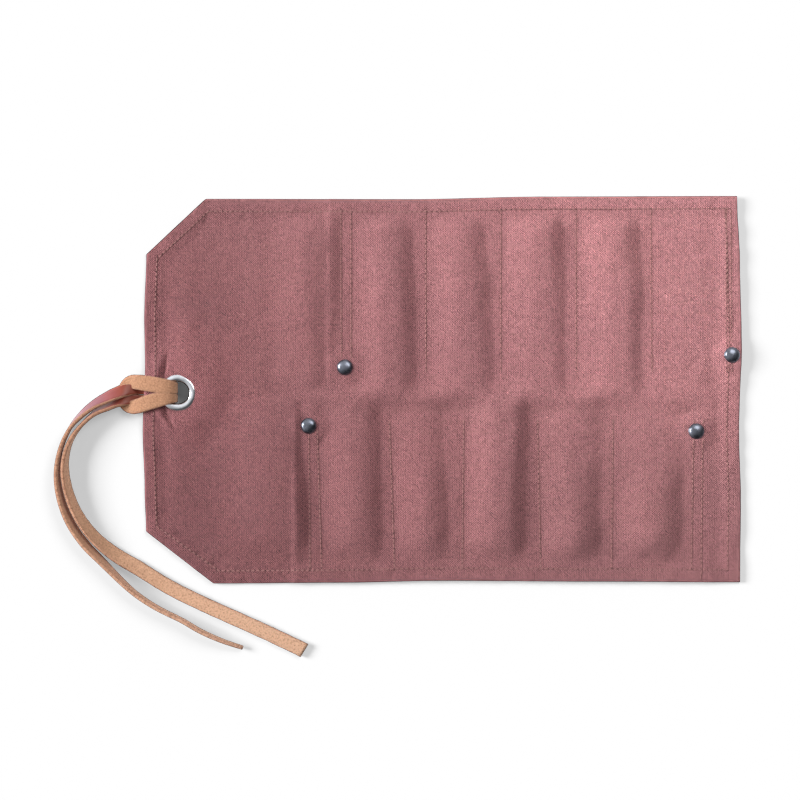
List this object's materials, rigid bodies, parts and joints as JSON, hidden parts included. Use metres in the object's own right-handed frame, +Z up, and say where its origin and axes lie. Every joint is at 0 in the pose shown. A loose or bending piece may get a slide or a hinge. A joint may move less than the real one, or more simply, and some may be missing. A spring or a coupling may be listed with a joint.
{
  "type": "roll-up pencil case",
  "caption": "Waxed-canvas pencil roll, unrolled outside up, with cut corners, two offset pocket rows, domed rivets, and a leather lace hitched to a nickel eyelet.",
  "frame": {"origin": "centre of the unrolled panel's box, at the level of the surface it lies on; the free lace is left out of that box", "axes": "+X from the eyelet flap to the straight end, +Y across the two pocket rows towards the top row, +Z up, out of the outside face"},
  "size_m": [0.3867, 0.2599, 0.0089],
  "materials": {
    "outer_canvas": "waxed canvas, dusty rose, fine weave with light scuffs",
    "pocket_canvas": "waxed canvas, the same cloth",
    "rivet_metal": "polished dark nickel",
    "eyelet_nickel": "bright nickel plate",
    "lace_leather": "suede on one face, smooth reddish-brown grain on the other"
  },
  "bodies": {
    "flap_end": {"canvas_flap_end": "outer_canvas", "eyelet_flange": "eyelet_nickel", "eyelet_washer": "eyelet_nickel"},
    "flap_middle": {"canvas_flap_middle": "outer_canvas"},
    "flap_inner": {"canvas_flap_inner": "outer_canvas", "bottom_pocket_0": "pocket_canvas", "rivet_cap_bottom_left": "rivet_metal", "rivet_back_bottom_left": "rivet_metal"},
    "column_1": {"canvas_column_1": "outer_canvas", "top_pocket_1": "pocket_canvas", "bottom_pocket_1": "pocket_canvas", "rivet_cap_top_left": "rivet_metal", "rivet_back_top_left": "rivet_metal"},
    "column_2": {"canvas_column_2": "outer_canvas", "top_pocket_2": "pocket_canvas", "bottom_pocket_2": "pocket_canvas"},
    "column_3": {"canvas_column_3": "outer_canvas", "top_pocket_3": "pocket_canvas", "bottom_pocket_3": "pocket_canvas"},
    "column_4": {"canvas_column_4": "outer_canvas", "top_pocket_4": "pocket_canvas", "bottom_pocket_4": "pocket_canvas"},
    "column_5": {"canvas_column_5": "outer_canvas", "top_pocket_5": "pocket_canvas", "bottom_pocket_5": "pocket_canvas", "rivet_cap_top_right": "rivet_metal", "rivet_back_top_right": "rivet_metal", "rivet_cap_bottom_right": "rivet_metal", "rivet_back_bottom_right": "rivet_metal"},
    "lace": {"lace_long_half": "lace_leather", "lace_short_half": "lace_leather"}
  },
  "joints": [
    {"name": "roll_up", "type": "hinge", "parent": "flap_end", "child": "flap_middle", "pos_m": [-0.124, 0, 0], "axis": [0, 1, 0], "range_deg": [0, 50]},
    {"name": "roll_fold_2", "type": "hinge", "parent": "flap_middle", "child": "flap_inner", "pos_m": [-0.094, 0, 0], "axis": [0, 1, 0], "range_deg": [0, 40]},
    {"name": "roll_fold_3", "type": "hinge", "parent": "flap_inner", "child": "column_1", "pos_m": [-0.064, 0, 0], "axis": [0, 1, 0], "range_deg": [0, 90]},
    {"name": "roll_fold_4", "type": "hinge", "parent": "column_1", "child": "column_2", "pos_m": [-0.0095, 0, 0], "axis": [0, 1, 0], "range_deg": [0, 67]},
    {"name": "roll_fold_5", "type": "hinge", "parent": "column_2", "child": "column_3", "pos_m": [0.033, 0, 0], "axis": [0, 1, 0], "range_deg": [0, 106]},
    {"name": "roll_fold_6", "type": "hinge", "parent": "column_3", "child": "column_4", "pos_m": [0.0755, 0, 0], "axis": [0, 1, 0], "range_deg": [0, 70]},
    {"name": "roll_fold_7", "type": "hinge", "parent": "column_4", "child": "column_5", "pos_m": [0.118, 0, 0], "axis": [0, 1, 0], "range_deg": [0, 156]},
    {"name": "lace_swivel", "type": "hinge", "parent": "flap_end", "child": "lace", "pos_m": [-0.149, -0.0018, 0], "axis": [0, 0, 1], "range_deg": [-12, 4]}
  ],
  "couplings": [
    {"joint": "roll_fold_2", "follows": "roll_up", "ratio": 0.8},
    {"joint": "roll_fold_3", "follows": "roll_up", "ratio": 1.8},
    {"joint": "roll_fold_4", "follows": "roll_up", "ratio": 1.34},
    {"joint": "roll_fold_5", "follows": "roll_up", "ratio": 2.12},
    {"joint": "roll_fold_6", "follows": "roll_up", "ratio": 1.4},
    {"joint": "roll_fold_7", "follows": "roll_up", "ratio": 3.12}
  ]
}
